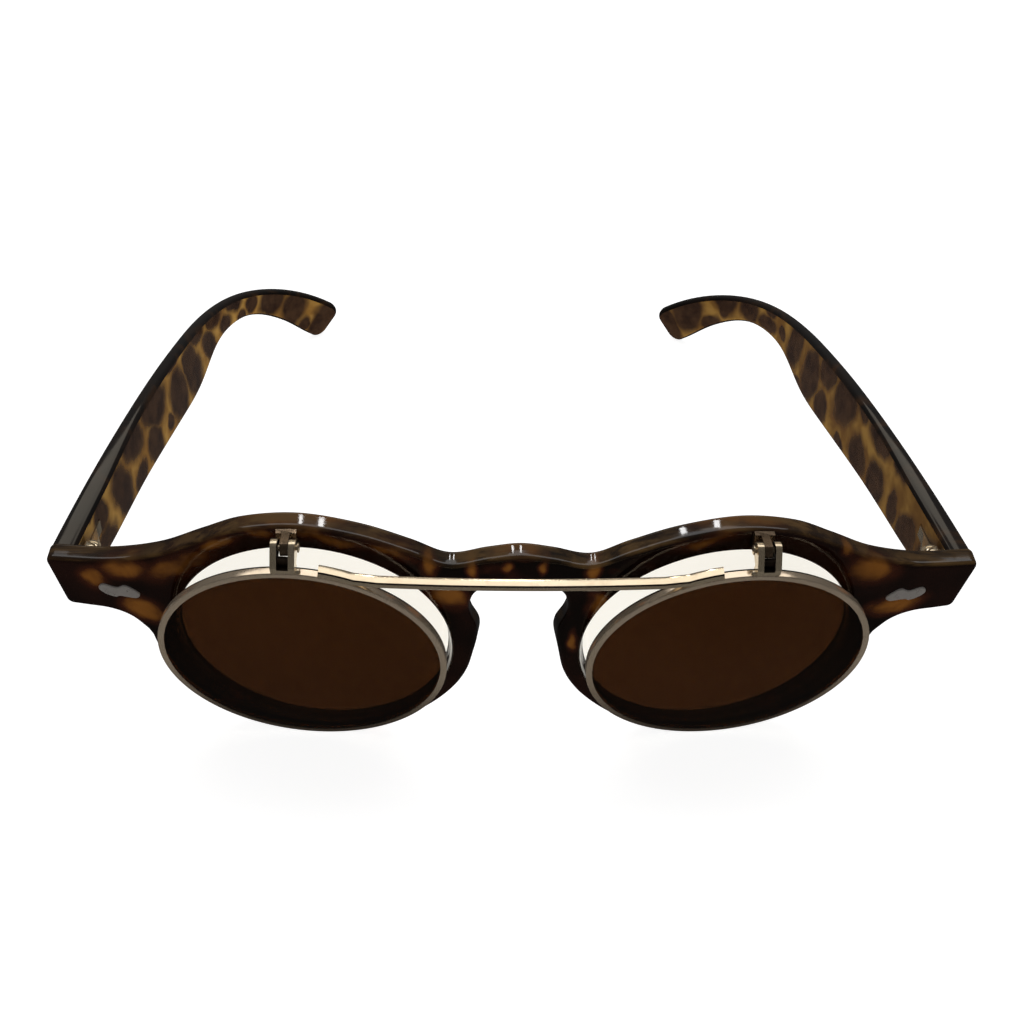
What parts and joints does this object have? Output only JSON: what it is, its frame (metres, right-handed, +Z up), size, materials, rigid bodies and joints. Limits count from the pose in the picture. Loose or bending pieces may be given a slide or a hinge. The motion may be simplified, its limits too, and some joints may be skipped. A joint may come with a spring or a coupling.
{
  "type": "flip-up sunglasses",
  "caption": "Round spectacles with clear lenses, folding curved temples and a metal-rimmed tinted lens unit that flips up on small hinges at the brow.",
  "frame": {"origin": "under the middle of the object with the temples open, on the surface it stands on", "axes": "+Z up, +X towards the wearer's left, the wearer looks along -Y and the temples run back along +Y"},
  "size_m": [0.1458, 0.1454, 0.0513],
  "materials": {
    "tortoiseshell": "polished brown and amber tortoiseshell",
    "clear_lens": "clear, polished",
    "tinted_lens": "dark brown tint, polished",
    "gold_metal": "polished pale gold plate",
    "plaque_metal": "satin"
  },
  "bodies": {
    "front": {"front_frame": "tortoiseshell", "clear_lens_left": "clear_lens", "clear_lens_right": "clear_lens", "plaque_left": "plaque_metal", "plaque_right": "plaque_metal", "front_leaf_left": "gold_metal", "front_leaf_right": "gold_metal", "temple_screw_left": "gold_metal", "temple_screw_right": "gold_metal", "flip_bracket_left": "gold_metal", "flip_bracket_right": "gold_metal"},
    "temple_arm_left": {"temple_left": "tortoiseshell", "temple_leaf_left": "gold_metal"},
    "temple_arm_right": {"temple_right": "tortoiseshell", "temple_leaf_right": "gold_metal"},
    "flip_unit": {"flip_ring_left": "gold_metal", "flip_ring_right": "gold_metal", "tinted_lens_left": "tinted_lens", "tinted_lens_right": "tinted_lens", "flip_arm_left": "gold_metal", "flip_arm_right": "gold_metal", "flip_pin_left": "gold_metal", "flip_pin_right": "gold_metal", "flip_bar": "gold_metal"}
  },
  "joints": [
    {"name": "flip_hinge", "type": "hinge", "parent": "front", "child": "flip_unit", "pos_m": [0, -0.0689, 0.0496], "axis": [-1, 0, 0], "range_deg": [0, 90]},
    {"name": "temple_fold_left", "type": "hinge", "parent": "front", "child": "temple_arm_left", "pos_m": [0.0673, -0.0556, 0.035], "axis": [0, 0, 1], "range_deg": [0, 80]},
    {"name": "temple_fold_right", "type": "hinge", "parent": "front", "child": "temple_arm_right", "pos_m": [-0.0673, -0.0556, 0.035], "axis": [0, 0, -1], "range_deg": [0, 65]}
  ]
}
